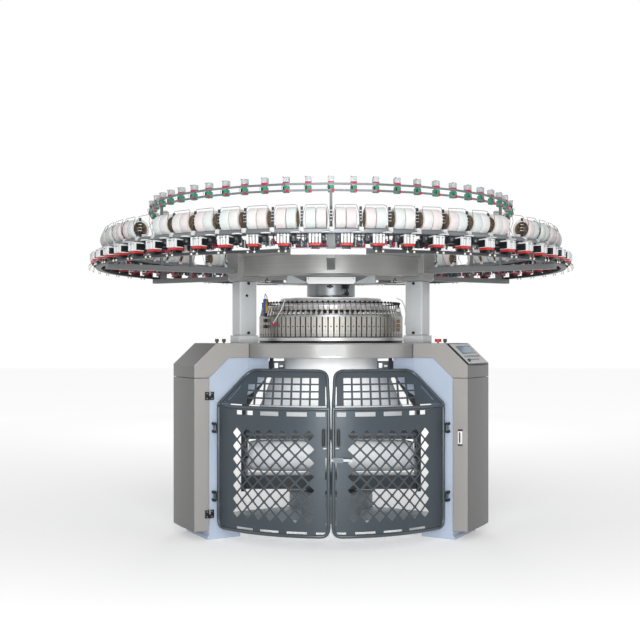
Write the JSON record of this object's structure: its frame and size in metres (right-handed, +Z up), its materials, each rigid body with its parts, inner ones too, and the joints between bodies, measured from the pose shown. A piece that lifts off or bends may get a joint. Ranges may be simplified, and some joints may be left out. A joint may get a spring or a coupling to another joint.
{
  "type": "circular knitting machine",
  "caption": "Large circular knitting machine: three cabinet legs, cam ring and needle cylinder, crown on columns, ring creel of yarn packages and front gates.",
  "frame": {"origin": "on the floor under the needle cylinder's axis", "axes": "+Z up along the cylinder axis, -Y towards the gates at the operator's side, +X to the operator's right"},
  "size_m": [2.9754, 2.9754, 1.985],
  "materials": {
    "painted_casting": "satin",
    "pale_leg_paint": "satin",
    "cabinet_paint": "satin",
    "gate_paint": "satin",
    "polished_steel": "polished",
    "ground_steel": "ground",
    "dark_ring": "satin",
    "roller_steel": "brushed",
    "white_yarn": "soft",
    "knitted_fabric": "soft",
    "white_plastic": "satin",
    "green_plastic": "satin",
    "black_plastic": "satin",
    "red_plastic": "gloss",
    "belt_rubber": "matte",
    "plate_aluminium": "brushed"
  },
  "bodies": {
    "root": {"base_spider": "painted_casting", "cam_drum": "dark_ring", "cam_plates": "polished_steel", "cam_ring": "ground_steel", "column_left": "polished_steel", "column_rear": "polished_steel", "column_right": "polished_steel", "control_panel": "black_plastic", "creel_arms": "dark_ring", "crown_ring": "painted_casting", "drive_belt": "belt_rubber", "feeder_rail": "dark_ring", "gate_hinges": "ground_steel", "guide_ring": "ground_steel", "hinge_leaves": "black_plastic", "hub_drum": "polished_steel", "leg_left": "pale_leg_paint", "leg_rear": "pale_leg_paint", "leg_right": "pale_leg_paint", "motor": "painted_casting", "name_plates": "plate_aluminium", "package_rail": "dark_ring", "slewing_bearing": "ground_steel", "stop_motions": "green_plastic", "table_bed": "painted_casting", "top_cover_left": "cabinet_paint", "top_cover_rear": "cabinet_paint", "top_cover_right": "cabinet_paint", "top_rings": "dark_ring", "yarn_feeders": "white_plastic", "yarn_guides": "polished_steel", "yarn_packages": "white_yarn"},
    "cylinder": {"needle_cylinder": "ground_steel", "ring_gear": "ground_steel", "takedown_arms": "gate_paint", "side_frames": "gate_paint", "cross_beam": "gate_paint"},
    "dial": {"dial": "ground_steel"},
    "drive_shaft": {"drive_shaft": "ground_steel"},
    "motor_pulley": {"motor_pulley": "ground_steel"},
    "roller_front": {"draw_roller_front": "roller_steel"},
    "roller_middle": {"draw_roller_middle": "roller_steel"},
    "roller_rear": {"draw_roller_rear": "roller_steel"},
    "cloth_roll": {"fabric_roll": "knitted_fabric", "roll_shaft": "ground_steel"},
    "gate_left": {"gate_frame_left": "gate_paint", "gate_panel_left": "gate_paint", "gate_handle_left": "black_plastic"},
    "gate_right": {"gate_frame_right": "gate_paint", "gate_panel_right": "gate_paint", "gate_handle_right": "black_plastic"},
    "latch": {"latch_bolt": "polished_steel"},
    "door_left": {"door_left": "cabinet_paint"},
    "door_right": {"door_right": "cabinet_paint"},
    "door_rear": {"door_rear": "cabinet_paint"},
    "door_handle": {"door_handle": "white_plastic"},
    "button_start": {"button_start": "black_plastic"},
    "button_jog": {"button_jog": "black_plastic"},
    "emergency_stop": {"emergency_stop": "red_plastic"},
    "button_stop": {"button_stop": "black_plastic"}
  },
  "joints": [
    {"name": "cylinder_spin", "type": "hinge", "parent": "root", "child": "cylinder", "pos_m": [0, 0, 1], "axis": [0, 0, 1], "continuous": true},
    {"name": "dial_spin", "type": "hinge", "parent": "root", "child": "dial", "pos_m": [0, 0, 1.34], "axis": [0, 0, 1], "continuous": true},
    {"name": "drive_shaft_spin", "type": "hinge", "parent": "root", "child": "drive_shaft", "pos_m": [0.252, 0.43648, 1], "axis": [0, 0, 1], "continuous": true},
    {"name": "motor_spin", "type": "hinge", "parent": "root", "child": "motor_pulley", "pos_m": [0.33, 0.57158, 1], "axis": [0, 0, 1], "continuous": true},
    {"name": "roller_front_spin", "type": "hinge", "parent": "cylinder", "child": "roller_front", "pos_m": [0, -0.062, 0.548], "axis": [1, 0, 0], "continuous": true},
    {"name": "roller_middle_spin", "type": "hinge", "parent": "cylinder", "child": "roller_middle", "pos_m": [0, 0, 0.548], "axis": [1, 0, 0], "continuous": true},
    {"name": "roller_rear_spin", "type": "hinge", "parent": "cylinder", "child": "roller_rear", "pos_m": [0, 0.062, 0.548], "axis": [1, 0, 0], "continuous": true},
    {"name": "cloth_roll_spin", "type": "hinge", "parent": "cylinder", "child": "cloth_roll", "pos_m": [0, 0, 0.41], "axis": [1, 0, 0], "continuous": true},
    {"name": "gate_left_hinge", "type": "hinge", "parent": "root", "child": "gate_left", "pos_m": [-0.65923, -0.59851, 0.445], "axis": [0, 0, -1], "range_deg": [0, 70]},
    {"name": "gate_right_hinge", "type": "hinge", "parent": "root", "child": "gate_right", "pos_m": [0.65923, -0.59851, 0.445], "axis": [0, 0, 1], "range_deg": [0, 70]},
    {"name": "latch_slide", "type": "slide", "parent": "gate_right", "child": "latch", "axis": [-1, 0, 0], "range_m": [0, 0.024]},
    {"name": "door_left_hinge", "type": "hinge", "parent": "root", "child": "door_left", "pos_m": [-0.68853, -0.59844, 0.484], "axis": [0, 0, 1], "range_deg": [0, 54]},
    {"name": "door_right_hinge", "type": "hinge", "parent": "root", "child": "door_right", "pos_m": [0.86253, -0.29706, 0.484], "axis": [0, 0, 1], "range_deg": [0, 110]},
    {"name": "door_rear_hinge", "type": "hinge", "parent": "root", "child": "door_rear", "pos_m": [-0.174, 0.8955, 0.484], "axis": [0, 0, 1], "range_deg": [0, 110]},
    {"name": "door_handle_swing", "type": "hinge", "parent": "door_right", "child": "door_handle", "pos_m": [0.71846, -0.61359, 0.54685], "axis": [0.866, -0.5, 0], "range_deg": [0, 35]},
    {"name": "button_start_press", "type": "slide", "parent": "root", "child": "button_start", "axis": [0, 0, -1], "range_m": [0, 0.006], "stiffness_N_per_m": 400},
    {"name": "button_jog_press", "type": "slide", "parent": "root", "child": "button_jog", "axis": [0, 0, -1], "range_m": [0, 0.006], "stiffness_N_per_m": 400},
    {"name": "emergency_stop_press", "type": "slide", "parent": "root", "child": "emergency_stop", "axis": [0, 0, -1], "range_m": [0, 0.006], "stiffness_N_per_m": 400},
    {"name": "button_stop_press", "type": "slide", "parent": "root", "child": "button_stop", "axis": [0, 0, -1], "range_m": [0, 0.006], "stiffness_N_per_m": 400}
  ],
  "couplings": [
    {"joint": "dial_spin", "follows": "cylinder_spin", "ratio": 1},
    {"joint": "drive_shaft_spin", "follows": "cylinder_spin", "ratio": -6},
    {"joint": "motor_spin", "follows": "cylinder_spin", "ratio": -6},
    {"joint": "roller_middle_spin", "follows": "roller_front_spin", "ratio": -1},
    {"joint": "roller_rear_spin", "follows": "roller_front_spin", "ratio": 1}
  ]
}
